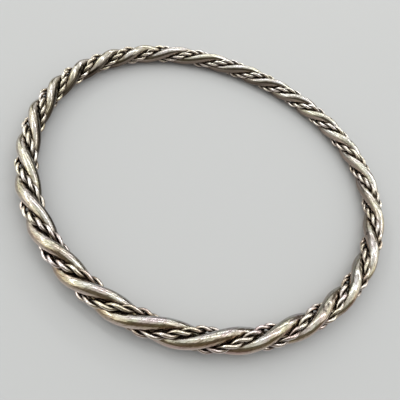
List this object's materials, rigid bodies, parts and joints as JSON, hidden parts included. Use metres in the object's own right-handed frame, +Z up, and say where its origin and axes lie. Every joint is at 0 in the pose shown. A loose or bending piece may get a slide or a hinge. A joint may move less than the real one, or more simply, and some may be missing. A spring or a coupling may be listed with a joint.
{
  "type": "bangle",
  "caption": "Closed bangle for the wrist, of thick round wires twisted round each other with fine twisted ropes lying in the grooves between them",
  "frame": {"origin": "bottom centre: the middle of the ring, at the height of the surface that it lies on", "axes": "+Z is up, through the opening of the ring as it lies flat; +X and +Y lie in the ring's plane"},
  "size_m": [0.0701, 0.0693, 0.0038],
  "materials": {
    "thick_wire": "satin sterling silver, polished on top, darkened in the creases and finely scratched lengthwise",
    "rope": "satin sterling silver, polished on the crowns and nearly black between the thin wires"
  },
  "bodies": {
    "root": {"thick_wire_a": "thick_wire", "thick_wire_b": "thick_wire", "rope_a": "rope", "rope_b": "rope"}
  },
  "joints": []
}
